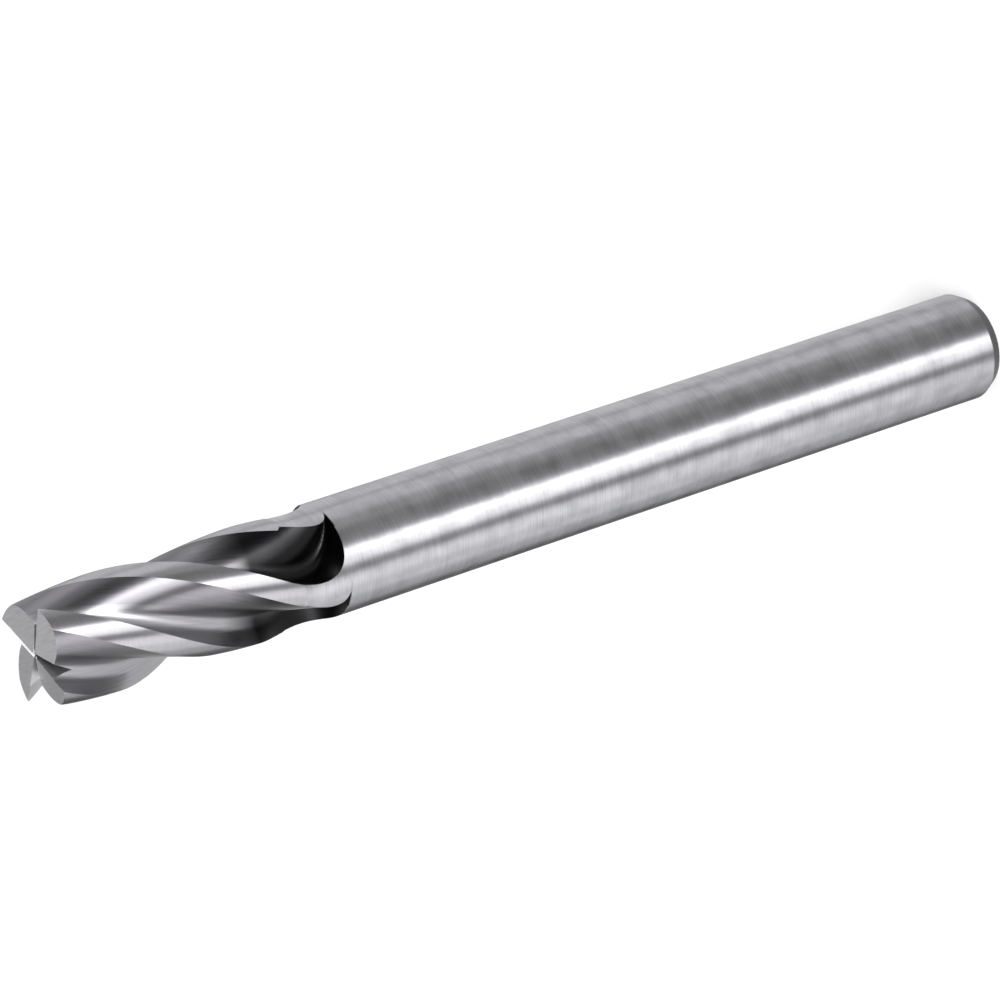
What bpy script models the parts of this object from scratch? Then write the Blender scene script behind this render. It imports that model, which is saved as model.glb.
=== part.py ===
"""Square end mill with four helical flutes on a plain round shank.

The tool stands on its shank end: the origin is the centre of that face and +Z runs
along the axis to the cutting end. Lengths are in metres and angles in radians.
"""

import math

import bmesh
import bpy
from mathutils import Vector

for old in list(bpy.data.objects):
    bpy.data.objects.remove(old)

OVERALL_LENGTH = 0.0600
SHANK_DIAMETER = 0.0060
SHANK_CHAMFER_WIDTH = 0.00037
SHANK_CHAMFER_LENGTH = 0.00068

CUTTING_DIAMETER = 0.00608
FLUTES = 4
FIRST_EDGE_DIRECTION = math.radians(44.0)
HELIX_ANGLE = math.radians(30.0)
FULL_FLUTE_LENGTH = 0.01394
RELIEF_LENGTH = 0.01430
RELIEF_FADE_LENGTH = 0.00015

RAKE_ANGLE = math.radians(3.0)
CORE_DIAMETER = 0.00320
GULLET_RADIUS = 0.00070
BACK_RADIUS = 0.00250
LAND_ANGLE = math.radians(24.0)
LAND_CLEARANCE_ANGLE = math.radians(3.0)
LAND_DROP = 0.00017

RUNOUT_WHEEL_RADIUS = 0.0028
RUNOUT_DRIFT_ANGLE = math.radians(-27.0)

END_STOCK = 0.00020
END_DISH_ANGLE = math.radians(1.5)
END_RELIEF_ANGLE = math.radians(8.0)
GASH_ANGLE = math.radians(30.0)
GASH_OPENING_ANGLE = math.radians(34.0)
GASH_RAKE_ANGLE = math.radians(4.0)
GASH_DEPTH_AT_CENTRE = 0.00010
GASH_OVERRUN = 0.00040
END_EDGE_BEHIND_CENTRE = 0.00003

LAND_POINTS = 12
FLUTE_POINTS = 16
RING_TURN = math.radians(6.0)
RUNOUT_RINGS = 12
FORM_SAMPLES = 120
HALVINGS = 40
MERGE_DISTANCE = 0.000004
SHARP_ANGLE = math.radians(28.0)

GROUND_STEEL = (0.42, 0.42, 0.43, 1.0)
GROUND_STEEL_ROUGHNESS = 0.28

SHANK_RADIUS = SHANK_DIAMETER / 2.0
CUTTING_RADIUS = CUTTING_DIAMETER / 2.0
PITCH_ANGLE = 2.0 * math.pi / FLUTES
TWIST_PER_LENGTH = math.tan(HELIX_ANGLE) / CUTTING_RADIUS
FULL_FLUTE_END = OVERALL_LENGTH - FULL_FLUTE_LENGTH
RELIEF_END = OVERALL_LENGTH - RELIEF_LENGTH


def ground_steel():
    """Bright ground high-speed steel."""
    material = bpy.data.materials.new("ground_steel")
    material.use_nodes = True
    shader = material.node_tree.nodes["Principled BSDF"]
    shader.inputs["Base Color"].default_value = GROUND_STEEL
    shader.inputs["Metallic"].default_value = 1.0
    shader.inputs["Roughness"].default_value = GROUND_STEEL_ROUGHNESS
    return material


def direction(angle):
    """Unit vector at an angle in the tooth's own section, +X along its cutting edge."""
    return Vector((math.cos(angle), math.sin(angle)))


def land_drop(angle):
    """How far the relieved land lies below the cutting circle, at an angle behind the edge."""
    slope = math.tan(LAND_CLEARANCE_ANGLE) * CUTTING_RADIUS
    bend = (LAND_DROP - slope * LAND_ANGLE) / LAND_ANGLE ** 2
    angle = max(angle, 0.0)
    return slope * angle + bend * angle ** 2


def body_radius(angle, height):
    """Radius of the unfluted body: relieved lands above the end of the relief, shank below."""
    ahead_of_next_edge = angle > (LAND_ANGLE + PITCH_ANGLE) / 2.0
    behind = angle - PITCH_ANGLE if ahead_of_next_edge else angle
    share = min(max((height - RELIEF_END) / RELIEF_FADE_LENGTH, 0.0), 1.0)
    return SHANK_RADIUS + share * (CUTTING_RADIUS - land_drop(behind) - SHANK_RADIUS)


def meeting_centre(gullet, gullet_radius, corner, back_radius):
    """Centre of the tooth's rounded back: through a corner, and touching the gullet's arc."""
    apart = corner - gullet
    reach = gullet_radius + back_radius
    along = (reach ** 2 - back_radius ** 2 + apart.length_squared) / (2.0 * apart.length)
    aside = math.sqrt(reach ** 2 - along ** 2)
    ahead = apart.normalized()
    return gullet + along * ahead - aside * Vector((-ahead.y, ahead.x))


class Flute:
    """The flute's form across the axis: rounded back, gullet arc, straight rake face.

    Distances along the form start where the back meets the gullet and grow towards the rake
    face, so they are negative on the back.
    """

    def __init__(self):
        next_edge = CUTTING_RADIUS * direction(PITCH_ANGLE)
        self.rake_outward = -direction(PITCH_ANGLE + math.pi - RAKE_ANGLE)
        into_flute = direction(PITCH_ANGLE - math.pi / 2.0 - RAKE_ANGLE)
        base = next_edge + GULLET_RADIUS * into_flute
        along = base.dot(self.rake_outward)
        reach = CORE_DIAMETER / 2.0 + GULLET_RADIUS
        travel = along - math.sqrt(along ** 2 - base.length_squared + reach ** 2)
        self.centre = base - travel * self.rake_outward
        self.rake_foot = self.centre - GULLET_RADIUS * into_flute

        land_back = (CUTTING_RADIUS - land_drop(LAND_ANGLE)) * direction(LAND_ANGLE)
        self.back_centre = meeting_centre(self.centre, GULLET_RADIUS, land_back, BACK_RADIUS)
        to_gullet = self.centre - self.back_centre
        self.back_foot_angle = math.atan2(to_gullet.y, to_gullet.x)
        self.start_angle = self.back_foot_angle + math.pi
        end = self.rake_foot - self.centre
        self.sweep = (self.start_angle - math.atan2(end.y, end.x)) % (2.0 * math.pi)
        self.arc_length = self.sweep * GULLET_RADIUS
        self.back_reach = BACK_RADIUS * math.pi / 2.0

    def point(self, distance):
        """Point of the form at a distance along it."""
        if distance < 0.0:
            turn = self.back_foot_angle + distance / BACK_RADIUS
            return self.back_centre + BACK_RADIUS * direction(turn)
        if distance > self.arc_length:
            return self.rake_foot + (distance - self.arc_length) * self.rake_outward
        turn = self.start_angle - distance / GULLET_RADIUS
        return self.centre + GULLET_RADIUS * direction(turn)

    def inside(self, distance, shift, height):
        """Whether the form, shifted by the run-out, lies in the body at this distance."""
        place = self.point(distance) + shift
        return place.length < body_radius(math.atan2(place.y, place.x), height)

    def deepest(self, shift):
        """Distance along the form of the point nearest the axis."""
        low = -self.back_reach
        high = self.arc_length + GULLET_RADIUS
        marks = [low + (high - low) * i / FORM_SAMPLES for i in range(FORM_SAMPLES + 1)]
        return min(marks, key=lambda mark: (self.point(mark) + shift).length)

    def rim(self, inner, outer, shift, height):
        """Distance along the form where it crosses the body's surface."""
        for _ in range(HALVINGS):
            middle = (inner + outer) / 2.0
            if self.inside(middle, shift, height):
                inner = middle
            else:
                outer = middle
        return (inner + outer) / 2.0


def runout_shift(lift):
    """How far the wheel's form has moved out of the flute, for a given lift."""
    return lift * direction(PITCH_ANGLE - math.pi / 2.0 + RUNOUT_DRIFT_ANGLE)


def runout_lift(height):
    """Lift of the wheel below the full flute, along the arc of its radius."""
    below = max(FULL_FLUTE_END - height, 0.0)
    return RUNOUT_WHEEL_RADIUS - math.sqrt(max(RUNOUT_WHEEL_RADIUS ** 2 - below ** 2, 0.0))


def runout_length(flute):
    """Length of the run-out, until the wheel's form has left the shank."""
    low, high = 0.0, RUNOUT_WHEEL_RADIUS
    for _ in range(HALVINGS):
        below = (low + high) / 2.0
        shift = runout_shift(runout_lift(FULL_FLUTE_END - below))
        if flute.inside(flute.deepest(shift), shift, FULL_FLUTE_END - below):
            low = below
        else:
            high = below
    return low


def fluted_ring(flute, height):
    """Points round the section at a height, each tooth's land followed by its flute."""
    shift = runout_shift(runout_lift(height))
    deepest = flute.deepest(shift)
    back = flute.rim(deepest, -flute.back_reach, shift, height)
    rake = flute.rim(deepest, flute.arc_length + CUTTING_DIAMETER, shift, height)

    back_point = flute.point(back) + shift
    rake_point = flute.point(rake) + shift
    land_end = math.atan2(back_point.y, back_point.x)
    land_start = math.atan2(rake_point.y, rake_point.x) - PITCH_ANGLE

    tooth = []
    for i in range(LAND_POINTS):
        angle = land_start + (land_end - land_start) * i / LAND_POINTS
        tooth.append(body_radius(angle, height) * direction(angle))
    for i in range(FLUTE_POINTS):
        tooth.append(flute.point(back + (rake - back) * i / FLUTE_POINTS) + shift)

    edge = FIRST_EDGE_DIRECTION + TWIST_PER_LENGTH * (height - OVERALL_LENGTH)
    ring = []
    for k in range(FLUTES):
        for point in tooth:
            angle = edge - k * PITCH_ANGLE - math.atan2(point.y, point.x)
            place = point.length * direction(angle)
            ring.append((place.x, place.y, height))
    return ring


def round_ring(radius, height, start):
    """A plain circle, its points in step with a section whose flutes have closed up."""
    ring = []
    for i in range(FLUTES):
        for j in range(LAND_POINTS + FLUTE_POINTS):
            turn = (i + min(j / LAND_POINTS, 1.0)) * PITCH_ANGLE
            place = radius * direction(start - turn)
            ring.append((place.x, place.y, height))
    return ring


def blank_rings():
    """Sections of the fluted tool from the cutting end down to the shank end."""
    flute = Flute()
    top = OVERALL_LENGTH + END_STOCK
    steps = math.ceil((top - FULL_FLUTE_END) * TWIST_PER_LENGTH / RING_TURN)
    heights = [top + (FULL_FLUTE_END - top) * i / steps for i in range(steps + 1)]
    heights += [RELIEF_END + RELIEF_FADE_LENGTH, RELIEF_END]
    length = runout_length(flute)
    for i in range(1, RUNOUT_RINGS + 1):
        share = math.sin(math.pi / 2.0 * i / RUNOUT_RINGS)
        heights.append(FULL_FLUTE_END - length * share)
    heights = sorted(set(heights), reverse=True)
    rings = [fluted_ring(flute, height) for height in heights]

    last = rings[-1][0]
    start = math.atan2(last[1], last[0])
    rings.append(round_ring(SHANK_RADIUS, SHANK_CHAMFER_LENGTH, start))
    rings.append(round_ring(SHANK_RADIUS - SHANK_CHAMFER_WIDTH, 0.0, start))
    return rings


def lofted_mesh(name, rings):
    """Closed mesh through the rings, capped at both ends."""
    mesh = bpy.data.meshes.new(name)
    bm = bmesh.new()
    rows = [[bm.verts.new(point) for point in ring] for ring in rings]
    count = len(rows[0])
    for upper, lower in zip(rows, rows[1:]):
        for i in range(count):
            j = (i + 1) % count
            bm.faces.new((upper[i], upper[j], lower[j], lower[i]))
    bm.faces.new(rows[0])
    bm.faces.new(rows[-1])
    bmesh.ops.remove_doubles(bm, verts=bm.verts, dist=MERGE_DISTANCE)
    bmesh.ops.recalc_face_normals(bm, faces=bm.faces)
    bm.to_mesh(mesh)
    bm.free()
    return mesh


def cutter(name, points, faces):
    """A closed cutting body, hidden from the finished model."""
    mesh = bpy.data.meshes.new(name)
    mesh.from_pydata(points, [], faces)
    bm = bmesh.new()
    bm.from_mesh(mesh)
    bmesh.ops.recalc_face_normals(bm, faces=bm.faces)
    bm.to_mesh(mesh)
    bm.free()
    tool = bpy.data.objects.new(name, mesh)
    bpy.context.scene.collection.objects.link(tool)
    tool.hide_render = True
    tool.display_type = 'WIRE'
    return tool


def cut(body, tool):
    """Take the cutter away from the body."""
    boolean = body.modifiers.new(tool.name, 'BOOLEAN')
    boolean.operation = 'DIFFERENCE'
    boolean.solver = 'EXACT'
    boolean.object = tool


def tooth_place(k, radial, behind, height):
    """World place from tooth k's own end frame: along its edge, behind the edge, and up."""
    angle = FIRST_EDGE_DIRECTION - k * PITCH_ANGLE
    along = radial * direction(angle)
    across = behind * direction(angle - math.pi / 2.0)
    return (along.x + across.x, along.y + across.y, height)


def end_relief_cutter():
    """Clears the end face behind each end edge, stepping up again at the next one."""
    reach = CUTTING_DIAMETER
    top = OVERALL_LENGTH + 2.0 * END_STOCK

    def floor(radial, behind):
        dish = (CUTTING_RADIUS - radial) * math.tan(END_DISH_ANGLE)
        return OVERALL_LENGTH - dish - behind * math.tan(END_RELIEF_ANGLE)

    points = [(0.0, 0.0, floor(0.0, 0.0))]
    for k in range(FLUTES):
        nearest = reach * direction(PITCH_ANGLE)
        corner = reach * (direction(0.0) + direction(PITCH_ANGLE))
        points += [
            tooth_place(k, reach, 0.0, floor(reach, 0.0)),
            tooth_place(k, corner.x, corner.y, floor(corner.x, corner.y)),
            tooth_place(k, nearest.x, nearest.y, floor(nearest.x, nearest.y)),
            tooth_place(k, reach, 0.0, top),
            tooth_place(k, corner.x, corner.y, top),
        ]
    faces = []
    for k in range(FLUTES):
        edge, corner, low, edge_top, corner_top = range(5 * k + 1, 5 * k + 6)
        following = 5 * ((k + 1) % FLUTES) + 1
        faces += [
            (0, edge, corner, low),
            (0, low, following),
            (edge, corner, corner_top, edge_top),
            (corner, low, following, following + 3, corner_top),
        ]
    faces.append([5 * k + i for k in range(FLUTES) for i in (4, 5)])
    return cutter("end_relief", points, faces)


def gash_cutter(k):
    """V-shaped gash in front of tooth k's end edge, running down into its flute."""
    top = OVERALL_LENGTH + 2.0 * END_STOCK

    def section(radial):
        depth = GASH_DEPTH_AT_CENTRE + (radial + GASH_OVERRUN) * math.tan(GASH_ANGLE)
        root = OVERALL_LENGTH - depth
        root_behind = END_EDGE_BEHIND_CENTRE + depth * math.tan(GASH_RAKE_ANGLE)
        rake_behind = END_EDGE_BEHIND_CENTRE - (top - OVERALL_LENGTH) * math.tan(GASH_RAKE_ANGLE)
        slope_behind = root_behind - (top - root) * math.tan(GASH_OPENING_ANGLE)
        return [
            tooth_place(k, radial, root_behind, root),
            tooth_place(k, radial, rake_behind, top),
            tooth_place(k, radial, slope_behind, top),
        ]

    points = section(-GASH_OVERRUN) + section(CUTTING_DIAMETER)
    faces = [(0, 1, 2), (3, 4, 5), (0, 1, 4, 3), (1, 2, 5, 4), (2, 0, 3, 5)]
    return cutter("gash_" + str(k), points, faces)


def build():
    """The whole tool: fluted blank, end relief and gashes."""
    mesh = lofted_mesh("end_mill", blank_rings())
    body = bpy.data.objects.new("end_mill", mesh)
    bpy.context.scene.collection.objects.link(body)
    mesh.materials.append(ground_steel())
    cut(body, end_relief_cutter())
    for k in range(FLUTES):
        cut(body, gash_cutter(k))
    mesh.shade_smooth()
    mesh.set_sharp_from_angle(angle=SHARP_ANGLE)


build()
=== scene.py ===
"""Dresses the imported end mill: ground steel with four helical flutes, and its studio.

Lengths are in metres and angles in radians unless a name says otherwise. The tool stands
on its shank end, with +Z along its axis towards the cutting end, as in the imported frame.
"""

import math

import bmesh
import bpy
from bpy.props import FloatProperty, FloatVectorProperty, IntProperty, PointerProperty
from mathutils import Matrix, Vector


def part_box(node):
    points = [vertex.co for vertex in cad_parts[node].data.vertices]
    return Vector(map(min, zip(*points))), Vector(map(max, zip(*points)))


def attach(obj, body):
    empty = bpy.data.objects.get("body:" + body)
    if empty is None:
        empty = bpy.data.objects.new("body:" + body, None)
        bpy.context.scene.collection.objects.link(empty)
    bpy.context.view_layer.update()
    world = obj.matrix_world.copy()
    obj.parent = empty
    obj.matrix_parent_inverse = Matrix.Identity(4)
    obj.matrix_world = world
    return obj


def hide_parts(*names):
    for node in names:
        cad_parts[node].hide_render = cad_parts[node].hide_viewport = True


bl_info = {
    "name": "Ground End Mill",
    "version": (1, 0, 0),
    "blender": (4, 5, 0),
    "location": "3D View > Sidebar > End Mill",
    "description": "Builds a ground steel end mill with helical flutes in a small studio",
    "category": "Object",
}

MM = 0.001
CAD_NODE = "end_mill"
PIECE = "ground_cutter"

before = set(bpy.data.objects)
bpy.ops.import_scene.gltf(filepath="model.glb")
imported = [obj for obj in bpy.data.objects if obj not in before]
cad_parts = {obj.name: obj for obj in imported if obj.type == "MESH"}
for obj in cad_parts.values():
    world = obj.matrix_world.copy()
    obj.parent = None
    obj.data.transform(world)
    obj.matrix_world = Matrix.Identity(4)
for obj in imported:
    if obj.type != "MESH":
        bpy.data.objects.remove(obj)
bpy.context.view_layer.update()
OVERALL_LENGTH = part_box(CAD_NODE)[1].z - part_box(CAD_NODE)[0].z

# Fineness of the mesh
LAND_POINTS = 24
FLUTE_POINTS = 44
RING_TURN = math.radians(2.0)
RUNOUT_RINGS = 26
FORM_SAMPLES = 200
HALVINGS = 40
# Rings of the plain shank right below the run-outs, so that it shades as a round bar
SHANK_RING_GAPS = (0.00005, 0.00030, 0.00200)
MERGE_DISTANCE = 0.0000015
SHARP_ANGLE = math.radians(13.0)

# Patterns of the ground surfaces, in millimetres: the gap between two lines, then their length.
# The real lines of the shank, the lands and the end are about 0.01 mm apart, which is too fine to
# show, so they are drawn coarser.
SHANK_LINES = (0.06, 2.5)
LAND_LINES = (0.07, 0.7)
FLUTE_LINES = (0.05, 3.0)
END_MARKS = (0.08, 1.0)
CHAMFER_RINGS = 0.07
STAIN_SIZE = 1.2
# Where the painted shade on the rounded back gives way to the bright gullet, as distances along
# the flute from the gullet's start, and where the painted shade of the run-out begins, as heights
# above the end of its full depth, both in millimetres
BACK_SHADE_FADE = (-0.5, 0.2)
RUNOUT_SHADE_FADE = (3.2, 1.0)
# Span of the noise that the lines and marks use, and how deep the lines are
LINE_SPAN = {'From Min': 0.3, 'From Max': 0.7}
ROUGHNESS_SPAN = {'From Min': 0.2, 'From Max': 0.8}
LINE_RELIEF = {'Strength': 0.12, 'Distance': 0.01 * MM}
EDGE_TINT = "#b8b8ba"
TURNED_ROUGHNESS = 0.42
END_ROUGHNESS = 0.42


def linear(hex_colour):
    """Linear colour with full alpha from an sRGB hex string."""
    channels = [int(hex_colour[i:i + 2], 16) / 255.0 for i in (1, 3, 5)]
    curve = [c / 12.92 if c <= 0.04045 else ((c + 0.055) / 1.055) ** 2.4 for c in channels]
    return (*curve, 1.0)


class CutterSizes(bpy.types.PropertyGroup):
    """Sizes of the cutter."""

    overall_length: FloatProperty(
        name="Overall length", description="From the shank end to the end edges",
        default=OVERALL_LENGTH, unit='LENGTH')
    shank_diameter: FloatProperty(
        name="Shank diameter", description="Diameter of the plain shank",
        default=0.0060, unit='LENGTH')
    chamfer_width: FloatProperty(
        name="Chamfer width", description="Width of the shank's end chamfer across the axis",
        default=0.00037, unit='LENGTH')
    chamfer_length: FloatProperty(
        name="Chamfer length", description="Length of the shank's end chamfer along the axis",
        default=0.00068, unit='LENGTH')
    cutting_diameter: FloatProperty(
        name="Cutting diameter", description="Diameter over the cutting edges",
        default=0.00608, unit='LENGTH')
    flutes: IntProperty(
        name="Flutes", description="Number of flutes and teeth", default=4, min=2)
    first_edge: FloatProperty(
        name="First edge", description="Direction of the first tooth's corner from +X",
        default=math.radians(44.0), unit='ROTATION')
    helix_angle: FloatProperty(
        name="Helix angle", description="Slant of the cutting edges to the axis",
        default=math.radians(30.0), unit='ROTATION')
    full_flute_length: FloatProperty(
        name="Full flute length", description="Length of the flutes at full depth",
        default=0.01327, unit='LENGTH')
    relief_length: FloatProperty(
        name="Relief length", description="Length of the relieved lands",
        default=0.01430, unit='LENGTH')
    relief_fade: FloatProperty(
        name="Relief fade", description="Length over which the relief runs out",
        default=0.00015, unit='LENGTH')
    rake_angle: FloatProperty(
        name="Rake angle", description="Lean of the rake face to the radius",
        default=math.radians(3.0), unit='ROTATION')
    core_diameter: FloatProperty(
        name="Core diameter", description="Diameter that the gullets leave at the middle",
        default=0.00320, unit='LENGTH')
    gullet_radius: FloatProperty(
        name="Gullet radius", description="Radius at the bottom of each flute",
        default=0.00070, unit='LENGTH')
    back_radius: FloatProperty(
        name="Back radius", description="Radius of each tooth's rounded back",
        default=0.00250, unit='LENGTH')
    land_angle: FloatProperty(
        name="Land angle", description="Width of each land round the axis",
        default=math.radians(24.0), unit='ROTATION')
    land_clearance: FloatProperty(
        name="Land clearance", description="Clearance angle right behind each cutting edge",
        default=math.radians(3.0), unit='ROTATION')
    land_drop: FloatProperty(
        name="Land drop", description="Depth of each land's back below the cutting circle",
        default=0.00017, unit='LENGTH')
    runout_wheel_radius: FloatProperty(
        name="Run-out wheel radius", description="Radius of the wheel that leaves the flutes",
        default=0.00366, unit='LENGTH')
    runout_drift: FloatProperty(
        name="Run-out drift", description="Turn of the wheel's way out of the flute",
        default=math.radians(-36.5), unit='ROTATION')


class EndToothSizes(bpy.types.PropertyGroup):
    """Sizes of the teeth ground into the cutting end."""

    stock: FloatProperty(
        name="End stock", description="Stock above the end edges that the grinding removes",
        default=0.00020, unit='LENGTH')
    dish_angle: FloatProperty(
        name="Dish angle", description="Slope of the end edges down to the middle",
        default=math.radians(1.5), unit='ROTATION')
    relief_angle: FloatProperty(
        name="End relief angle", description="Slope of the end faces behind their edges",
        default=math.radians(8.0), unit='ROTATION')
    gash_angle: FloatProperty(
        name="Gash angle", description="Slope of the gash roots down into the flutes",
        default=math.radians(30.0), unit='ROTATION')
    gash_opening: FloatProperty(
        name="Gash opening", description="Angle between the two sides of a gash",
        default=math.radians(34.0), unit='ROTATION')
    gash_rake: FloatProperty(
        name="Gash rake", description="Lean of the end edges' rake faces",
        default=math.radians(4.0), unit='ROTATION')
    gash_depth: FloatProperty(
        name="Gash depth", description="Depth of the gashes at the middle",
        default=0.00010, unit='LENGTH')
    gash_overrun: FloatProperty(
        name="Gash overrun", description="Length of the gashes past the middle",
        default=0.00040, unit='LENGTH')
    edge_behind_centre: FloatProperty(
        name="Edge behind centre", description="Distance of the end edges behind the axis",
        default=0.00003, unit='LENGTH')


class FinishColours(bpy.types.PropertyGroup):
    """Colours of the ground surfaces, some of them darkened as painted shade."""

    shank: FloatVectorProperty(
        name="Shank", description="Steel of the shank", subtype='COLOR', size=4,
        min=0.0, max=1.0, default=linear("#8f8f92"))
    land: FloatVectorProperty(
        name="Land", description="Steel of the lands", subtype='COLOR', size=4,
        min=0.0, max=1.0, default=linear("#868588"))
    # Painted shade: the rounded backs are the same steel as the gullets, darkened to stand in for
    # shade
    tooth_back_shade: FloatVectorProperty(
        name="Tooth back", description="Steel of the teeth's rounded backs", subtype='COLOR',
        size=4, min=0.0, max=1.0, default=linear("#504f52"))
    rake: FloatVectorProperty(
        name="Rake face", description="Steel of the gullets and rake faces", subtype='COLOR',
        size=4, min=0.0, max=1.0, default=linear("#8b8a8d"))
    # Painted shade: the run-outs are painted nearly black, for the shade in their hollows
    runout: FloatVectorProperty(
        name="Run-out", description="Steel of the flutes' run-outs", subtype='COLOR', size=4,
        min=0.0, max=1.0, default=linear("#1a1a1b"))
    end_face: FloatVectorProperty(
        name="End face", description="Steel of the relieved end faces", subtype='COLOR',
        size=4, min=0.0, max=1.0, default=linear("#a09fa2"))
    gash: FloatVectorProperty(
        name="Gash", description="Steel of the gashes between the end teeth", subtype='COLOR',
        size=4, min=0.0, max=1.0, default=linear("#a09fa2"))
    # Painted shade: the chamfer's steel is darkened to stand in for shade
    chamfer: FloatVectorProperty(
        name="Chamfer", description="Steel of the turned chamfer", subtype='COLOR', size=4,
        min=0.0, max=1.0, default=linear("#4b4a4d"))


class StudioSizes(bpy.types.PropertyGroup):
    """Places of the camera and the floor."""

    camera_distance: FloatProperty(
        name="Camera distance", description="From the camera to the tool's axis",
        default=0.26686, unit='LENGTH')
    camera_elevation: FloatProperty(
        name="Camera elevation", description="Height of the camera above the level",
        default=math.radians(30.61), unit='ROTATION')
    camera_roll: FloatProperty(
        name="Camera roll", description="Turn of the picture, which lays the tool across it",
        default=math.radians(-108.44), unit='ROTATION')
    aim_height: FloatProperty(
        name="Aim height", description="Height on the axis that the camera points at",
        default=0.03176, unit='LENGTH')
    lens: FloatProperty(
        name="Lens", description="Focal length in millimetres on a 36 mm sensor",
        default=184.19, unit='CAMERA')
    floor_radius: FloatProperty(
        name="Floor radius", description="Radius of the studio floor",
        default=3.0, unit='LENGTH')


def add_node(tree, kind, settings=None, values=None, links=None):
    """Add a node with its settings, its fixed input values and the links into it."""
    node = tree.nodes.new(kind)
    for name, setting in (settings or {}).items():
        setattr(node, name, setting)
    for name, value in (values or {}).items():
        node.inputs[name].default_value = value
    for name, socket in (links or {}).items():
        tree.links.new(socket, node.inputs[name])
    return node


def direction(angle):
    """Unit vector at an angle in the tooth's own section, +X along its cutting edge."""
    return Vector((math.cos(angle), math.sin(angle)))


class ToothForm:
    """Section of one tooth and the flute behind it, with its land, back, gullet and rake face.

    Angles grow behind the cutting edge. Distances along the flute's form start where the
    back meets the gullet and grow towards the next tooth's rake face.
    """

    def __init__(self, sizes):
        self.sizes = sizes
        self.pitch = 2.0 * math.pi / sizes.flutes
        self.shank_radius = sizes.shank_diameter / 2.0
        self.cutting_radius = sizes.cutting_diameter / 2.0
        self.full_flute_end = sizes.overall_length - sizes.full_flute_length
        self.relief_end = sizes.overall_length - sizes.relief_length

        next_edge = self.cutting_radius * direction(self.pitch)
        self.rake_outward = -direction(self.pitch + math.pi - sizes.rake_angle)
        into_flute = direction(self.pitch - math.pi / 2.0 - sizes.rake_angle)
        base = next_edge + sizes.gullet_radius * into_flute
        along = base.dot(self.rake_outward)
        reach = sizes.core_diameter / 2.0 + sizes.gullet_radius
        travel = along - math.sqrt(along ** 2 - base.length_squared + reach ** 2)
        self.centre = base - travel * self.rake_outward
        self.rake_foot = self.centre - sizes.gullet_radius * into_flute

        land_back_radius = self.cutting_radius - self.land_depth(sizes.land_angle)
        land_back = land_back_radius * direction(sizes.land_angle)
        self.back_centre = self.meeting_centre(land_back)
        to_gullet = self.centre - self.back_centre
        self.back_foot_angle = math.atan2(to_gullet.y, to_gullet.x)
        self.start_angle = self.back_foot_angle + math.pi
        end = self.rake_foot - self.centre
        sweep = (self.start_angle - math.atan2(end.y, end.x)) % (2.0 * math.pi)
        self.arc_length = sweep * sizes.gullet_radius
        self.back_reach = sizes.back_radius * math.pi / 2.0

    def meeting_centre(self, corner):
        """Centre of the rounded back, through the land's corner and touching the gullet."""
        apart = corner - self.centre
        reach = self.sizes.gullet_radius + self.sizes.back_radius
        along = (reach ** 2 - self.sizes.back_radius ** 2 + apart.length_squared) / (
            2.0 * apart.length)
        aside = math.sqrt(reach ** 2 - along ** 2)
        ahead = apart.normalized()
        return self.centre + along * ahead - aside * Vector((-ahead.y, ahead.x))

    def land_depth(self, angle):
        """How far the relieved land lies below the cutting circle, behind the edge."""
        sizes = self.sizes
        slope = math.tan(sizes.land_clearance) * self.cutting_radius
        bend = (sizes.land_drop - slope * sizes.land_angle) / sizes.land_angle ** 2
        angle = max(angle, 0.0)
        return slope * angle + bend * angle ** 2

    def body_radius(self, angle, height):
        """Radius of the unfluted body: relieved lands above the relief's end, shank below."""
        ahead_of_next_edge = angle > (self.sizes.land_angle + self.pitch) / 2.0
        behind = angle - self.pitch if ahead_of_next_edge else angle
        share = (height - self.relief_end) / self.sizes.relief_fade
        share = min(max(share, 0.0), 1.0)
        land_radius = self.cutting_radius - self.land_depth(behind)
        return self.shank_radius + share * (land_radius - self.shank_radius)

    def point(self, distance):
        """Point of the flute's form at a distance along it."""
        if distance < 0.0:
            turn = self.back_foot_angle + distance / self.sizes.back_radius
            return self.back_centre + self.sizes.back_radius * direction(turn)
        if distance > self.arc_length:
            return self.rake_foot + (distance - self.arc_length) * self.rake_outward
        turn = self.start_angle - distance / self.sizes.gullet_radius
        return self.centre + self.sizes.gullet_radius * direction(turn)

    def inside(self, distance, shift, height):
        """Whether the form, shifted by the run-out, lies in the body at this distance."""
        place = self.point(distance) + shift
        return place.length < self.body_radius(math.atan2(place.y, place.x), height)

    def deepest(self, shift):
        """Distance along the form of the point nearest the axis."""
        low = -self.back_reach
        high = self.arc_length + self.sizes.gullet_radius
        marks = [low + (high - low) * i / FORM_SAMPLES for i in range(FORM_SAMPLES + 1)]
        return min(marks, key=lambda mark: (self.point(mark) + shift).length)

    def rim(self, inner, outer, shift, height):
        """Distance along the form where it crosses the body's surface."""
        for _ in range(HALVINGS):
            middle = (inner + outer) / 2.0
            if self.inside(middle, shift, height):
                inner = middle
            else:
                outer = middle
        return (inner + outer) / 2.0

    def shift(self, height):
        """How far the wheel has moved out of the flute on its arc, below the full flute."""
        wheel = self.sizes.runout_wheel_radius
        below = max(self.full_flute_end - height, 0.0)
        lift = wheel - math.sqrt(max(wheel ** 2 - below ** 2, 0.0))
        return lift * direction(self.pitch - math.pi / 2.0 + self.sizes.runout_drift)

    def runout_end(self):
        """Height at which the wheel's form has left the shank."""
        low, high = 0.0, self.sizes.runout_wheel_radius
        for _ in range(HALVINGS):
            below = (low + high) / 2.0
            height = self.full_flute_end - below
            shift = self.shift(height)
            if self.inside(self.deepest(shift), shift, height):
                low = below
            else:
                high = below
        return self.full_flute_end - low

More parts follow.
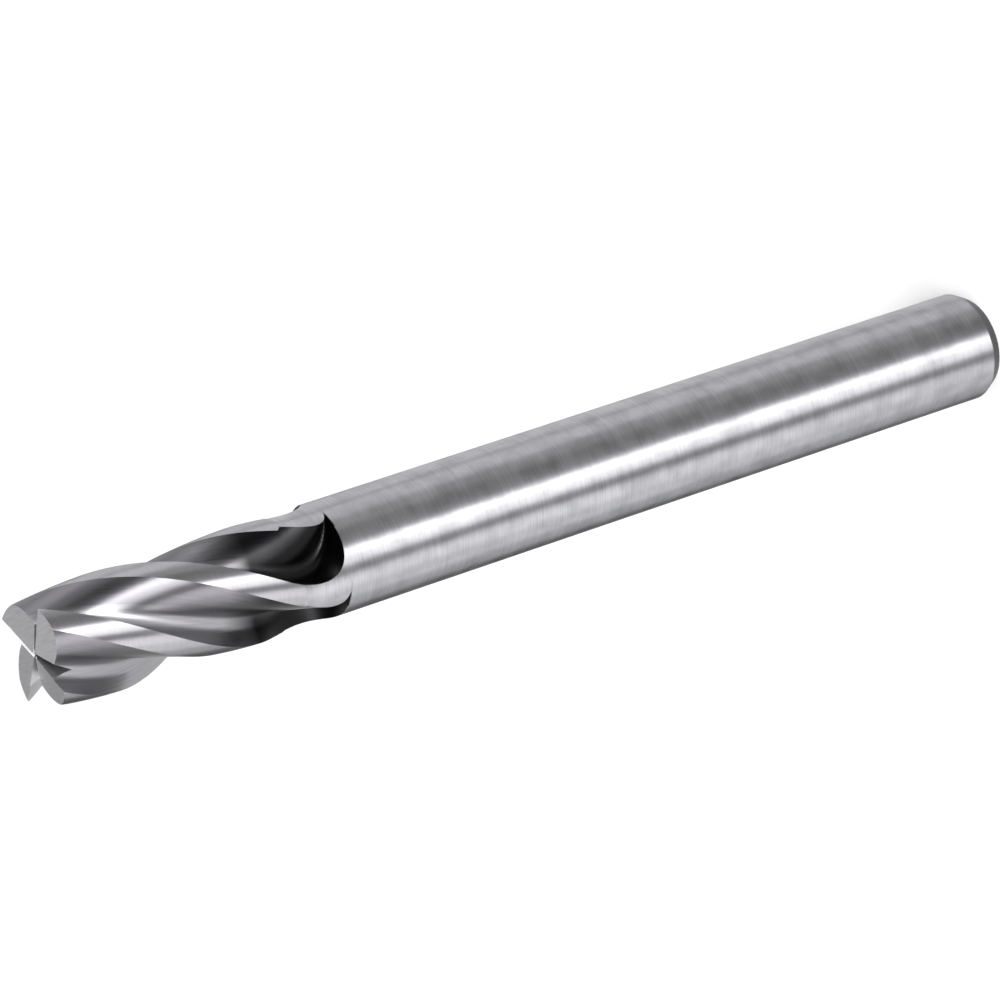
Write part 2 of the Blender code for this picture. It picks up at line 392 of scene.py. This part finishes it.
    def section(self, height):
        """Points and distances along the form, from one cutting edge to the next."""
        shift = self.shift(height)
        deepest = self.deepest(shift)
        back = self.rim(deepest, -self.back_reach, shift, height)
        rake = self.rim(deepest, self.arc_length + self.cutting_radius, shift, height)
        back_point = self.point(back) + shift
        rake_point = self.point(rake) + shift
        land_end = math.atan2(back_point.y, back_point.x)
        land_start = math.atan2(rake_point.y, rake_point.x) - self.pitch

        points, marks = [], []
        for i in range(LAND_POINTS):
            angle = land_start + (land_end - land_start) * i / LAND_POINTS
            points.append(self.body_radius(angle, height) * direction(angle))
            marks.append(angle * self.cutting_radius)
        for i in range(FLUTE_POINTS + 1):
            mark = back + (rake - back) * i / FLUTE_POINTS
            points.append(self.point(mark) + shift)
            marks.append(mark)
        return points, marks

    def round_section(self, radius):
        """A plain arc, its points in step with a section whose flute has closed up."""
        closing = self.section(self.runout_end())[0][0]
        start = math.atan2(closing.y, closing.x)
        points, marks = [], []
        for i in range(LAND_POINTS + FLUTE_POINTS + 1):
            angle = start + min(i / LAND_POINTS, 1.0) * self.pitch
            points.append(radius * direction(angle))
            marks.append(0.0)
        return points, marks

    def heights(self, top):
        """Heights of the sections, from the top of the stock to the end of the run-out."""
        turn = math.tan(self.sizes.helix_angle) / self.cutting_radius
        steps = math.ceil((top - self.full_flute_end) * turn / RING_TURN)
        rows = [top + (self.full_flute_end - top) * i / steps for i in range(steps + 1)]
        rows += [self.relief_end + self.sizes.relief_fade, self.relief_end]
        length = self.full_flute_end - self.runout_end()
        for i in range(1, RUNOUT_RINGS + 1):
            share = math.sin(math.pi / 2.0 * i / RUNOUT_RINGS)
            rows.append(self.full_flute_end - length * share)
        return sorted(set(rows), reverse=True)


def straight_tooth(form, stock):
    """One tooth with the flute behind it, not yet twisted, from the stock to the shank end.

    Its UV map holds the distance along the section and the height, both in millimetres.
    The face attributes on_land, on_chamfer and on_flute name the ground surfaces.
    """
    sizes = form.sizes
    heights = form.heights(sizes.overall_length + stock)
    rows = [(height, *form.section(height)) for height in heights]
    for gap in SHANK_RING_GAPS:
        rows.append((heights[-1] - gap, *form.round_section(form.shank_radius)))
    rows.append((sizes.chamfer_length, *form.round_section(form.shank_radius)))
    rows.append((0.0, *form.round_section(form.shank_radius - sizes.chamfer_width)))

    vertices, marks = [], []
    for height, points, distances in rows:
        vertices += [(point.x, -point.y, height) for point in points]
        marks += [(distance / MM, height / MM) for distance in distances]
    count = LAND_POINTS + FLUTE_POINTS + 1
    faces, surfaces = [], []
    for row in range(len(rows) - 1):
        lower_height = rows[row + 1][0]
        for i in range(count - 1):
            first = row * count + i
            faces.append((first, first + 1, first + count + 1, first + count))
            if i >= LAND_POINTS:
                surfaces.append("on_flute")
            elif lower_height >= form.relief_end:
                surfaces.append("on_land")
            elif lower_height > 0.0:
                surfaces.append("on_shank")
            else:
                surfaces.append("on_chamfer")
    for row in (0, len(rows) - 1):
        vertices.append((0.0, 0.0, rows[row][0]))
        marks.append((0.0, rows[row][0] / MM))
        faces.append([len(vertices) - 1] + [row * count + i for i in range(count)])
        surfaces.append("on_chamfer")

    mesh = bpy.data.meshes.new("straight_tooth")
    mesh.from_pydata(vertices, [], faces)
    uv_map = mesh.uv_layers.new(name="ground_way")
    for loop in mesh.loops:
        uv_map.data[loop.index].uv = marks[loop.vertex_index]
    for name in ("on_land", "on_chamfer", "on_flute"):
        attribute = mesh.attributes.new(name, 'BOOLEAN', 'FACE')
        attribute.data.foreach_set("value", [surface == name for surface in surfaces])
    return mesh


def helical_teeth_tree():
    """Geometry Nodes tree: repeats a straight tooth round the axis and twists it to a helix."""
    tree = bpy.data.node_groups.new("helical_teeth", 'GeometryNodeTree')
    face = tree.interface
    face.new_socket("Geometry", in_out='INPUT', socket_type='NodeSocketGeometry')
    face.new_socket("Teeth", in_out='INPUT', socket_type='NodeSocketInt')
    for name in ("Twist per length", "Overall length", "Twist end", "First edge"):
        face.new_socket(name, in_out='INPUT', socket_type='NodeSocketFloat')
    face.new_socket("Merge distance", in_out='INPUT', socket_type='NodeSocketFloat')
    surfaces = ("Shank steel", "Land steel", "Flute steel", "Chamfer steel")
    for name in surfaces:
        face.new_socket(name, in_out='INPUT', socket_type='NodeSocketMaterial')
    face.new_socket("Geometry", in_out='OUTPUT', socket_type='NodeSocketGeometry')
    given = add_node(tree, 'NodeGroupInput').outputs

    # Turn of each copy round the axis
    places = add_node(tree, 'GeometryNodeMeshLine', values={'Offset': (0.0, 0.0, 0.0)},
                      links={'Count': given['Teeth']})
    index = add_node(tree, 'GeometryNodeInputIndex')
    pitch = add_node(tree, 'ShaderNodeMath', {'operation': 'DIVIDE'}, {0: -2.0 * math.pi},
                     {1: given['Teeth']})
    turn = add_node(tree, 'ShaderNodeMath', {'operation': 'MULTIPLY'},
                    links={0: index.outputs[0], 1: pitch.outputs[0]})
    copy_turn = add_node(tree, 'ShaderNodeCombineXYZ', links={'Z': turn.outputs[0]})
    copies = add_node(tree, 'GeometryNodeInstanceOnPoints',
                      links={'Points': places.outputs[0], 'Instance': given['Geometry'],
                             'Rotation': copy_turn.outputs[0]})
    real = add_node(tree, 'GeometryNodeRealizeInstances', links={0: copies.outputs[0]})

    # Twist along the axis, held below the flutes
    position = add_node(tree, 'GeometryNodeInputPosition')
    parts = add_node(tree, 'ShaderNodeSeparateXYZ', links={0: position.outputs[0]})
    held = add_node(tree, 'ShaderNodeMath', {'operation': 'MAXIMUM'},
                    links={0: parts.outputs['Z'], 1: given['Twist end']})
    above = add_node(tree, 'ShaderNodeMath', {'operation': 'SUBTRACT'},
                     links={0: held.outputs[0], 1: given['Overall length']})
    twist = add_node(tree, 'ShaderNodeMath', {'operation': 'MULTIPLY_ADD'},
                     links={0: above.outputs[0], 1: given['Twist per length'],
                            2: given['First edge']})
    twisted = add_node(tree, 'ShaderNodeVectorRotate', {'rotation_type': 'Z_AXIS'},
                       links={'Vector': position.outputs[0], 'Angle': twist.outputs[0]})
    placed = add_node(tree, 'GeometryNodeSetPosition',
                      links={'Geometry': real.outputs[0], 'Position': twisted.outputs[0]})
    merged = add_node(tree, 'GeometryNodeMergeByDistance',
                      links={'Geometry': placed.outputs[0],
                             'Distance': given['Merge distance']})

    # Finish of each ground surface
    finished = add_node(tree, 'GeometryNodeSetMaterial',
                        links={'Geometry': merged.outputs[0],
                               'Material': given['Shank steel']})
    for attribute, name in (("on_land", "Land steel"), ("on_flute", "Flute steel"),
                            ("on_chamfer", "Chamfer steel")):
        chosen = add_node(tree, 'GeometryNodeInputNamedAttribute', {'data_type': 'BOOLEAN'},
                          {'Name': attribute})
        finished = add_node(tree, 'GeometryNodeSetMaterial',
                            links={'Geometry': finished.outputs[0],
                                   'Selection': chosen.outputs['Attribute'],
                                   'Material': given[name]})
    add_node(tree, 'NodeGroupOutput', links={0: finished.outputs[0]})
    return tree


def set_inputs(modifier, values):
    """Set a Geometry Nodes modifier's inputs, given by their names."""
    for item in modifier.node_group.interface.items_tree:
        if item.in_out == 'INPUT' and item.name in values:
            modifier[item.identifier] = values[item.name]


def add_object(name, mesh):
    """A new object with this mesh, at the origin."""
    made = bpy.data.objects.new(name, mesh)
    bpy.context.scene.collection.objects.link(made)
    return made


def plain_mesh(made):
    """Turn an object's modifiers into its own mesh and remove them."""
    bpy.context.view_layer.update()
    graph = bpy.context.evaluated_depsgraph_get()
    mesh = bpy.data.meshes.new_from_object(
        made.evaluated_get(graph), preserve_all_data_layers=True, depsgraph=graph)
    made.modifiers.clear()
    made.data = mesh


def point_outwards(mesh):
    """Turn all faces of a closed mesh outwards."""
    bm = bmesh.new()
    bm.from_mesh(mesh)
    bmesh.ops.recalc_face_normals(bm, faces=bm.faces)
    bm.to_mesh(mesh)
    bm.free()


def wheel_cutter(name, points, faces, material):
    """A closed cutting body whose cut faces take this material."""
    mesh = bpy.data.meshes.new(name)
    mesh.from_pydata(points, [], faces)
    mesh.materials.append(material)
    point_outwards(mesh)
    return add_object(name, mesh)


def tooth_place(sizes, k, radial, behind, height):
    """Place in tooth k's own end frame: along its edge, behind the edge, and up."""
    angle = sizes.first_edge - k * 2.0 * math.pi / sizes.flutes
    along = radial * direction(angle)
    across = behind * direction(angle - math.pi / 2.0)
    return (along.x + across.x, along.y + across.y, height)


def end_relief_cutter(sizes, teeth, material):
    """Clears the end face behind each end edge, stepping up again at the next one."""
    reach = sizes.cutting_diameter
    top = sizes.overall_length + 2.0 * teeth.stock
    pitch = 2.0 * math.pi / sizes.flutes

    def floor(radial, behind):
        dish = (sizes.cutting_diameter / 2.0 - radial) * math.tan(teeth.dish_angle)
        return sizes.overall_length - dish - behind * math.tan(teeth.relief_angle)

    nearest = reach * direction(pitch)
    corner = reach * (direction(0.0) + direction(pitch))
    points = [(0.0, 0.0, floor(0.0, 0.0))]
    faces = []
    for k in range(sizes.flutes):
        points += [
            tooth_place(sizes, k, reach, 0.0, floor(reach, 0.0)),
            tooth_place(sizes, k, corner.x, corner.y, floor(corner.x, corner.y)),
            tooth_place(sizes, k, nearest.x, nearest.y, floor(nearest.x, nearest.y)),
            tooth_place(sizes, k, reach, 0.0, top),
            tooth_place(sizes, k, corner.x, corner.y, top),
        ]
        edge, corner_low, low, edge_top, corner_top = range(5 * k + 1, 5 * k + 6)
        following = 5 * ((k + 1) % sizes.flutes) + 1
        faces += [
            (0, edge, corner_low, low),
            (0, low, following),
            (edge, corner_low, corner_top, edge_top),
            (corner_low, low, following, following + 3, corner_top),
        ]
    faces.append([5 * k + i for k in range(sizes.flutes) for i in (4, 5)])
    return wheel_cutter("end_relief", points, faces, material)


def gash_cutter(sizes, teeth, k, material):
    """V-shaped gash in front of tooth k's end edge, running down into its flute."""
    length = sizes.overall_length
    top = length + 2.0 * teeth.stock

    def section(radial):
        depth = teeth.gash_depth + (radial + teeth.gash_overrun) * math.tan(teeth.gash_angle)
        root = length - depth
        root_behind = teeth.edge_behind_centre + depth * math.tan(teeth.gash_rake)
        rake_behind = teeth.edge_behind_centre - (top - length) * math.tan(teeth.gash_rake)
        slope_behind = root_behind - (top - root) * math.tan(teeth.gash_opening)
        return [
            tooth_place(sizes, k, radial, root_behind, root),
            tooth_place(sizes, k, radial, rake_behind, top),
            tooth_place(sizes, k, radial, slope_behind, top),
        ]

    points = section(-teeth.gash_overrun) + section(sizes.cutting_diameter)
    faces = [(0, 1, 2), (3, 4, 5), (0, 1, 4, 3), (1, 2, 5, 4), (2, 0, 3, 5)]
    return wheel_cutter("gash_" + str(k), points, faces, material)


def new_material(name):
    """A node material, its tree and its shader."""
    material = bpy.data.materials.new(name)
    material.use_nodes = True
    tree = material.node_tree
    return material, tree, tree.nodes["Principled BSDF"]


def per_metre(*sizes_mm):
    """Pattern scale on Object coordinates, from the size of one grain in millimetres."""
    return tuple(1.0 / (size * MM) for size in sizes_mm)


def stretch_highlights(tree, shader, anisotropic):
    """Draw the highlights out along the tool's axis, as fine lines round it do."""
    shader.inputs['Anisotropic'].default_value = anisotropic
    axis = add_node(tree, 'ShaderNodeCombineXYZ', values={'Z': 1.0})
    tree.links.new(axis.outputs[0], shader.inputs['Tangent'])


def raise_lines(tree, shader, lines):
    """Let the lines of this noise stand up a little from the surface."""
    bump = add_node(
        tree, 'ShaderNodeBump', values=LINE_RELIEF, links={'Height': lines.outputs['Fac']})
    tree.links.new(bump.outputs[0], shader.inputs['Normal'])


# High-speed steel, centreless ground: fine lines run round the shank, so highlights are
# drawn out along it and stay narrow across it
def shank_steel(colour):
    material, tree, shader = new_material("ground_high_speed_steel_shank")
    place = add_node(tree, 'ShaderNodeTexCoord').outputs['Object']
    # The real lines are about 0.01 mm apart and are drawn coarser, so that they show
    gap, length = SHANK_LINES
    line_place = add_node(
        tree, 'ShaderNodeMapping', values={'Scale': per_metre(length, length, gap)},
        links={'Vector': place})
    lines = add_node(
        tree, 'ShaderNodeTexNoise', values={'Scale': 1.0, 'Detail': 3.0},
        links={'Vector': line_place.outputs[0]})
    line_tone = add_node(
        tree, 'ShaderNodeMapRange',
        values={**LINE_SPAN, 'To Min': 0.88, 'To Max': 1.1},
        links={'Value': lines.outputs['Fac']})
    # Handling stains
    stain_place = add_node(
        tree, 'ShaderNodeMapping',
        values={'Scale': per_metre(STAIN_SIZE, STAIN_SIZE, STAIN_SIZE)},
        links={'Vector': place})
    stains = add_node(
        tree, 'ShaderNodeTexNoise', values={'Scale': 1.0, 'Detail': 4.0},
        links={'Vector': stain_place.outputs[0]})
    stain_tone = add_node(
        tree, 'ShaderNodeMapRange',
        values={'From Min': 0.4, 'From Max': 0.75, 'To Min': 1.0, 'To Max': 0.8},
        links={'Value': stains.outputs['Fac']})
    tone = add_node(
        tree, 'ShaderNodeMath', {'operation': 'MULTIPLY'},
        links={0: line_tone.outputs[0], 1: stain_tone.outputs[0]})
    toned = add_node(
        tree, 'ShaderNodeVectorMath', {'operation': 'SCALE'}, {0: colour[:3]},
        {'Scale': tone.outputs[0]})
    tree.links.new(toned.outputs[0], shader.inputs['Base Color'])
    roughness = add_node(
        tree, 'ShaderNodeMapRange',
        values={**ROUGHNESS_SPAN, 'To Min': 0.42, 'To Max': 0.5},
        links={'Value': stains.outputs['Fac']})
    tree.links.new(roughness.outputs[0], shader.inputs['Roughness'])
    shader.inputs['Metallic'].default_value = 1.0
    shader.inputs['Specular Tint'].default_value = linear(EDGE_TINT)
    stretch_highlights(tree, shader, 1.0)
    raise_lines(tree, shader, lines)
    return material


# High-speed steel, relief ground: bright lands with faint lines across them
def land_steel(colour):
    material, tree, shader = new_material("relief_ground_high_speed_steel_land")
    place = add_node(tree, 'ShaderNodeTexCoord').outputs['Object']
    # Drawn coarser than the real lines, as on the shank
    gap, length = LAND_LINES
    line_place = add_node(
        tree, 'ShaderNodeMapping', values={'Scale': per_metre(length, length, gap)},
        links={'Vector': place})
    lines = add_node(
        tree, 'ShaderNodeTexNoise', values={'Scale': 1.0, 'Detail': 2.0},
        links={'Vector': line_place.outputs[0]})
    tone = add_node(
        tree, 'ShaderNodeMapRange',
        values={**LINE_SPAN, 'To Min': 0.9, 'To Max': 1.05},
        links={'Value': lines.outputs['Fac']})
    toned = add_node(
        tree, 'ShaderNodeVectorMath', {'operation': 'SCALE'}, {0: colour[:3]},
        {'Scale': tone.outputs[0]})
    tree.links.new(toned.outputs[0], shader.inputs['Base Color'])
    roughness = add_node(
        tree, 'ShaderNodeMapRange',
        values={**ROUGHNESS_SPAN, 'To Min': 0.38, 'To Max': 0.46},
        links={'Value': lines.outputs['Fac']})
    tree.links.new(roughness.outputs[0], shader.inputs['Roughness'])
    shader.inputs['Metallic'].default_value = 1.0
    shader.inputs['Specular Tint'].default_value = linear(EDGE_TINT)
    stretch_highlights(tree, shader, 1.0)
    return material


# High-speed steel, flutes ground from the solid: wheel lines follow the flute. The rounded backs
# are painted darker than the bright gullets and rake faces as painted shade, and the run-outs are
# painted nearly black as painted shade in their hollows
def flute_steel(colours, form):
    material, tree, shader = new_material("flute_ground_high_speed_steel_painted_shade")
    way = add_node(tree, 'ShaderNodeUVMap', {'uv_map': "ground_way"}).outputs[0]
    parts = add_node(tree, 'ShaderNodeSeparateXYZ', links={0: way})
    # Painted shade: from the darkened rounded back to the bright gullet
    gullet = add_node(
        tree, 'ShaderNodeMapRange',
        values={'From Min': BACK_SHADE_FADE[0], 'From Max': BACK_SHADE_FADE[1]},
        links={'Value': parts.outputs['X']})
    tone = add_node(
        tree, 'ShaderNodeMix', {'data_type': 'RGBA'}, {6: colours.tooth_back_shade, 7: colours.rake},
        {0: gullet.outputs[0]})
    # Painted shade in the run-out: turns dark just above the height at which the wheel starts to
    # leave the flute
    flute_end = form.full_flute_end / MM
    leaving = add_node(
        tree, 'ShaderNodeMapRange',
        values={'From Min': flute_end + RUNOUT_SHADE_FADE[0], 'From Max': flute_end + RUNOUT_SHADE_FADE[1]},
        links={'Value': parts.outputs['Y']})
    tone = add_node(
        tree, 'ShaderNodeMix', {'data_type': 'RGBA'}, {7: colours.runout},
        {0: leaving.outputs[0], 6: tone.outputs[2]})
    # Wheel lines along the flute. The UV map is in millimetres.
    gap, length = FLUTE_LINES
    line_place = add_node(
        tree, 'ShaderNodeMapping', values={'Scale': (1.0 / gap, 1.0 / length, 1.0)},
        links={'Vector': way})
    lines = add_node(
        tree, 'ShaderNodeTexNoise', values={'Scale': 1.0, 'Detail': 2.0},
        links={'Vector': line_place.outputs[0]})
    line_tone = add_node(
        tree, 'ShaderNodeMapRange',
        values={**LINE_SPAN, 'To Min': 0.84, 'To Max': 1.08},
        links={'Value': lines.outputs['Fac']})
    toned = add_node(
        tree, 'ShaderNodeVectorMath', {'operation': 'SCALE'},
        links={0: tone.outputs[2], 'Scale': line_tone.outputs[0]})
    tree.links.new(toned.outputs[0], shader.inputs['Base Color'])
    roughness = add_node(
        tree, 'ShaderNodeMapRange',
        values={**ROUGHNESS_SPAN, 'To Min': 0.3, 'To Max': 0.4},
        links={'Value': lines.outputs['Fac']})
    tree.links.new(roughness.outputs[0], shader.inputs['Roughness'])
    shader.inputs['Metallic'].default_value = 1.0
    stretch_highlights(tree, shader, 0.6)
    raise_lines(tree, shader, lines)
    return material


# High-speed steel, end ground: fine straight wheel marks on the end faces and gashes
def end_steel(colour, name):
    material, tree, shader = new_material(name)
    place = add_node(tree, 'ShaderNodeTexCoord').outputs['Object']
    # Drawn coarser than the real marks
    gap, length = END_MARKS
    mark_place = add_node(
        tree, 'ShaderNodeMapping', values={'Scale': per_metre(gap, length, length)},
        links={'Vector': place})
    marks = add_node(
        tree, 'ShaderNodeTexNoise', values={'Scale': 1.0, 'Detail': 1.0},
        links={'Vector': mark_place.outputs[0]})
    tone = add_node(
        tree, 'ShaderNodeMapRange',
        values={**LINE_SPAN, 'To Min': 0.88, 'To Max': 1.04},
        links={'Value': marks.outputs['Fac']})
    toned = add_node(
        tree, 'ShaderNodeVectorMath', {'operation': 'SCALE'}, {0: colour[:3]},
        {'Scale': tone.outputs[0]})
    tree.links.new(toned.outputs[0], shader.inputs['Base Color'])
    shader.inputs['Roughness'].default_value = END_ROUGHNESS
    shader.inputs['Metallic'].default_value = 1.0
    return material


# High-speed steel, turned and left from the bar: rougher than the ground steel, and painted
# darker than it as painted shade on the chamfer
def chamfer_steel(colour):
    material, tree, shader = new_material("turned_high_speed_steel_end_painted_shade")
    place = add_node(tree, 'ShaderNodeTexCoord').outputs['Object']
    radius = add_node(tree, 'ShaderNodeVectorMath', {'operation': 'LENGTH'}, links={0: place})
    # Turned rings
    rings = add_node(
        tree, 'ShaderNodeTexNoise',
        {'noise_dimensions': '1D'}, {'Scale': per_metre(CHAMFER_RINGS)[0], 'Detail': 2.0},
        {'W': radius.outputs['Value']})
    tone = add_node(
        tree, 'ShaderNodeMapRange',
        values={**LINE_SPAN, 'To Min': 0.75, 'To Max': 1.05},
        links={'Value': rings.outputs['Fac']})
    toned = add_node(
        tree, 'ShaderNodeVectorMath', {'operation': 'SCALE'}, {0: colour[:3]},
        {'Scale': tone.outputs[0]})
    tree.links.new(toned.outputs[0], shader.inputs['Base Color'])
    shader.inputs['Roughness'].default_value = TURNED_ROUGHNESS
    shader.inputs['Metallic'].default_value = 1.0
    return material


class OBJECT_OT_fluted_blank(bpy.types.Operator):
    """Build the round shank and the helical flutes, before the end is ground"""

    bl_idname = "end_mill.fluted_blank"
    bl_label = "Fluted Blank"

    def execute(self, context):
        sizes = context.scene.cutter_sizes
        colours = context.scene.finish_colours
        form = ToothForm(sizes)
        blank = add_object(PIECE, straight_tooth(form, context.scene.end_tooth_sizes.stock))
        modifier = blank.modifiers.new("helical_teeth", 'NODES')
        modifier.node_group = helical_teeth_tree()
        set_inputs(modifier, {
            "Teeth": sizes.flutes,
            "Twist per length": math.tan(sizes.helix_angle) / form.cutting_radius,
            "Overall length": sizes.overall_length,
            "Twist end": form.runout_end(),
            "First edge": sizes.first_edge,
            "Merge distance": MERGE_DISTANCE,
            "Shank steel": shank_steel(colours.shank),
            "Land steel": land_steel(colours.land),
            "Flute steel": flute_steel(colours, form),
            "Chamfer steel": chamfer_steel(colours.chamfer),
        })
        plain_mesh(blank)
        point_outwards(blank.data)
        return {'FINISHED'}


class OBJECT_OT_end_teeth(bpy.types.Operator):
    """Grind the end relief and the gashes that leave the end teeth"""

    bl_idname = "end_mill.end_teeth"
    bl_label = "End Teeth"

    def execute(self, context):
        sizes = context.scene.cutter_sizes
        teeth = context.scene.end_tooth_sizes
        cutter = bpy.data.objects[PIECE]
        colours = context.scene.finish_colours
        relief = end_steel(colours.end_face, "end_ground_high_speed_steel_relief")
        gash = end_steel(colours.gash, "end_ground_high_speed_steel_gash")
        wheels = [end_relief_cutter(sizes, teeth, relief)]
        wheels += [gash_cutter(sizes, teeth, k, gash) for k in range(sizes.flutes)]
        for wheel in wheels:
            boolean = cutter.modifiers.new(wheel.name, 'BOOLEAN')
            boolean.operation = 'DIFFERENCE'
            boolean.solver = 'EXACT'
            boolean.material_mode = 'TRANSFER'
            boolean.object = wheel
        plain_mesh(cutter)
        for wheel in wheels:
            bpy.data.objects.remove(wheel)
        cutter.data.shade_smooth()
        cutter.data.set_sharp_from_angle(angle=SHARP_ANGLE)
        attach(cutter, "root")
        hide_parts(CAD_NODE)
        return {'FINISHED'}


# Studio settings
FLOOR_SEGMENTS = 96
FLOOR_PAINT = "#e4e4e4"
FLOOR_ROUGHNESS = 0.9
FLOOR_GLOW = 0.15
WORLD_GREY = "#3f3f40"
SENSOR_WIDTH_MM = 36.0
CLIP_START = 0.01
# Each lamp: side from the camera and height above the level in degrees, then distance, width and
# height of the panel in metres, and power in watts. All but the last two were first worked out
# with a least-squares solve against the greys round the shank, then joined and rounded.
LAMPS = (
    ("key", 0.0, 14.0, 0.60, 0.122, 0.24, 3.5),
    ("key_edge", 15.0, 14.0, 0.60, 0.205, 0.24, 3.2),
    ("fill", 56.0, 14.0, 0.60, 0.248, 0.24, 2.4),
    ("fill_edge", 80.0, 14.0, 0.60, 0.269, 0.24, 1.7),
    ("fill_back", 105.0, 14.0, 0.60, 0.312, 0.24, 0.95),
    ("rim_edge", -55.0, 14.0, 0.60, 0.205, 0.24, 0.37),
    ("rim", -82.0, 14.0, 0.60, 0.334, 0.24, 1.8),
    ("rim_back", -124.0, 14.0, 0.60, 0.46, 0.24, 2.3),
    ("back", 180.0, 34.0, 0.60, 0.30, 0.24, 0.5),
    ("top", 0.0, 80.0, 0.70, 0.35, 0.35, 0.6),
)


# Painted studio floor, matt white: it shows white, and keeps a soft shadow of the tool
def floor_paint():
    material, tree, shader = new_material("matt_white_studio_floor")
    shader.inputs['Base Color'].default_value = linear(FLOOR_PAINT)
    shader.inputs['Roughness'].default_value = FLOOR_ROUGHNESS
    path = add_node(tree, 'ShaderNodeLightPath').outputs
    seen = add_node(
        tree, 'ShaderNodeMath', {'operation': 'MAXIMUM'},
        links={0: path['Is Camera Ray'], 1: path['Is Glossy Ray']})
    seen = add_node(
        tree, 'ShaderNodeMath', {'operation': 'MAXIMUM'},
        links={0: seen.outputs[0], 1: path['Is Transmission Ray']})
    glow = add_node(
        tree, 'ShaderNodeMath', {'operation': 'MULTIPLY'}, {1: FLOOR_GLOW},
        {0: seen.outputs[0]})
    shader.inputs['Emission Color'].default_value = (1.0, 1.0, 1.0, 1.0)
    tree.links.new(glow.outputs[0], shader.inputs['Emission Strength'])
    return material


class OBJECT_OT_studio(bpy.types.Operator):
    """Add the floor, the soft lamps and the camera"""

    bl_idname = "end_mill.studio"
    bl_label = "Studio"

    def execute(self, context):
        scene = context.scene
        studio = scene.studio_sizes
        bm = bmesh.new()
        bmesh.ops.create_circle(
            bm, cap_ends=True, radius=studio.floor_radius, segments=FLOOR_SEGMENTS)
        mesh = bpy.data.meshes.new("studio_floor")
        bm.to_mesh(mesh)
        bm.free()
        mesh.materials.append(floor_paint())
        add_object("studio_floor", mesh)

        world = bpy.data.worlds.new("studio")
        world.use_nodes = True
        background = world.node_tree.nodes["Background"]
        background.inputs['Color'].default_value = linear(WORLD_GREY)
        scene.world = world

        aim = Vector((0.0, 0.0, studio.aim_height))
        for name, side, height, distance, width, tall, power in LAMPS:
            lamp = bpy.data.lights.new("lamp_" + name, 'AREA')
            lamp.shape = 'RECTANGLE'
            lamp.size = width
            lamp.size_y = tall
            lamp.energy = power
            turn = math.radians(-90.0 - side)
            up = math.radians(height)
            out = Vector((math.cos(up) * math.cos(turn), math.cos(up) * math.sin(turn),
                          math.sin(up)))
            made = add_object("lamp_" + name, lamp)
            turned = out.to_track_quat('Z', 'Y').to_matrix().to_4x4()
            made.matrix_world = Matrix.Translation(aim + distance * out) @ turned
            made.visible_camera = False

        camera = bpy.data.cameras.new("camera")
        camera.sensor_width = SENSOR_WIDTH_MM
        camera.lens = studio.lens
        camera.clip_start = CLIP_START
        made = add_object("camera", camera)
        level = Matrix.Rotation(math.pi / 2.0 - studio.camera_elevation, 4, 'X')
        roll = Matrix.Rotation(studio.camera_roll, 4, 'Z')
        back_off = Matrix.Translation((0.0, 0.0, studio.camera_distance))
        made.matrix_world = Matrix.Translation(aim) @ level @ roll @ back_off
        scene.camera = made
        scene.view_settings.view_transform = 'Standard'
        return {'FINISHED'}


class VIEW3D_PT_end_mill(bpy.types.Panel):
    """Sizes, finishes and steps of the end mill"""

    bl_label = "End Mill"
    bl_idname = "VIEW3D_PT_end_mill"
    bl_space_type = 'VIEW_3D'
    bl_region_type = 'UI'
    bl_category = "End Mill"

    def draw(self, context):
        layout = self.layout
        for group_name in PROPERTY_GROUPS:
            group = getattr(context.scene, group_name)
            column = layout.column(align=True)
            for name in group.bl_rna.properties.keys():
                if name not in {"rna_type", "name"}:
                    column.prop(group, name)
        for operator in OPERATORS:
            layout.operator(operator.bl_idname)


PROPERTY_GROUPS = {
    "cutter_sizes": CutterSizes,
    "end_tooth_sizes": EndToothSizes,
    "finish_colours": FinishColours,
    "studio_sizes": StudioSizes,
}
OPERATORS = (OBJECT_OT_fluted_blank, OBJECT_OT_end_teeth, OBJECT_OT_studio)


def register():
    """Register the classes and hang the property groups on the scene."""
    for name, group in PROPERTY_GROUPS.items():
        bpy.utils.register_class(group)
        setattr(bpy.types.Scene, name, PointerProperty(type=group))
    for operator in OPERATORS:
        bpy.utils.register_class(operator)
    bpy.utils.register_class(VIEW3D_PT_end_mill)


def unregister():
    """Undo register."""
    bpy.utils.unregister_class(VIEW3D_PT_end_mill)
    for operator in reversed(OPERATORS):
        bpy.utils.unregister_class(operator)
    for name, group in PROPERTY_GROUPS.items():
        delattr(bpy.types.Scene, name)
        bpy.utils.unregister_class(group)


def main():
    """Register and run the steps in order."""
    register()
    bpy.ops.end_mill.fluted_blank()
    bpy.ops.end_mill.end_teeth()
    bpy.ops.end_mill.studio()


if __name__ == "__main__":
    main()
